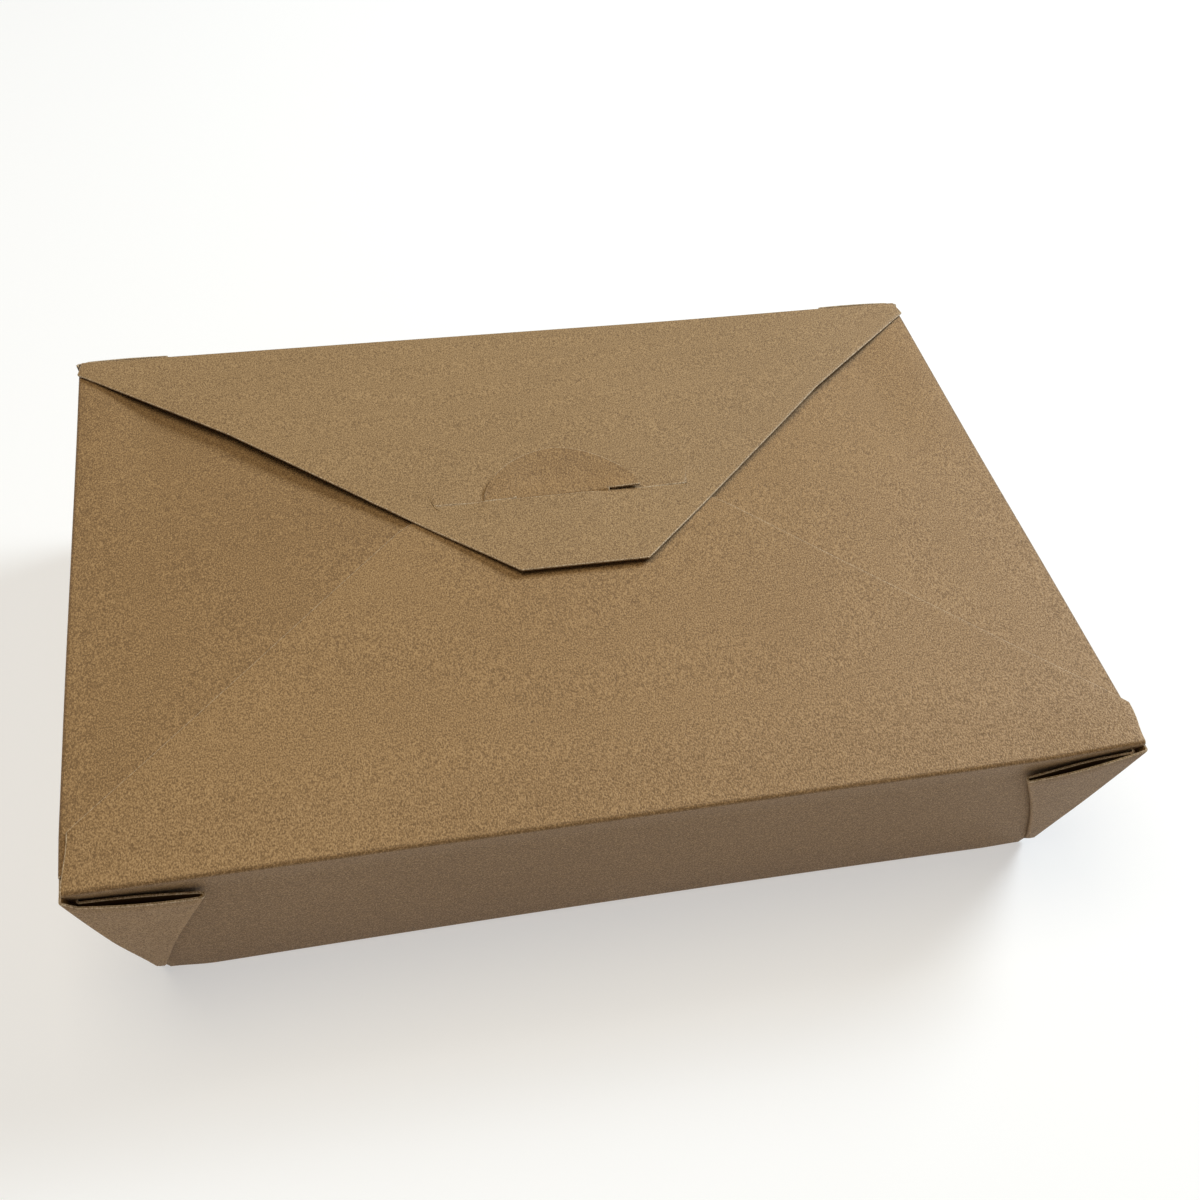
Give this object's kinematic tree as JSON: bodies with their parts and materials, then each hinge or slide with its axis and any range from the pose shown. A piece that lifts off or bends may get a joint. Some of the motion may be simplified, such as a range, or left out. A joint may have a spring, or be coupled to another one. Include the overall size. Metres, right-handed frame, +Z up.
{
  "type": "paper takeout box",
  "caption": "Shallow folded kraft board takeout box with flared walls, folded web corners and a hinged lid flap held by a half-moon tongue.",
  "frame": {"origin": "centre of the whole closed box seen from above, on the plane that its base rests on", "axes": "+X along the long side to the right, +Y from the front towards the rear rim where the lid flap folds, +Z up"},
  "size_m": [0.217, 0.1634, 0.0522],
  "materials": {
    "kraft_board": "matt uncoated kraft board, fine fibre mottle",
    "kraft_board_lid": "matt uncoated kraft board, fine fibre mottle"
  },
  "bodies": {
    "carton": {"carton": "kraft_board"},
    "lid": {"lid_flap": "kraft_board_lid"}
  },
  "joints": [
    {"name": "lid_hinge", "type": "hinge", "parent": "carton", "child": "lid", "pos_m": [0, 0.08, 0.049], "axis": [-1, 0, 0], "range_deg": [0, 180]}
  ]
}
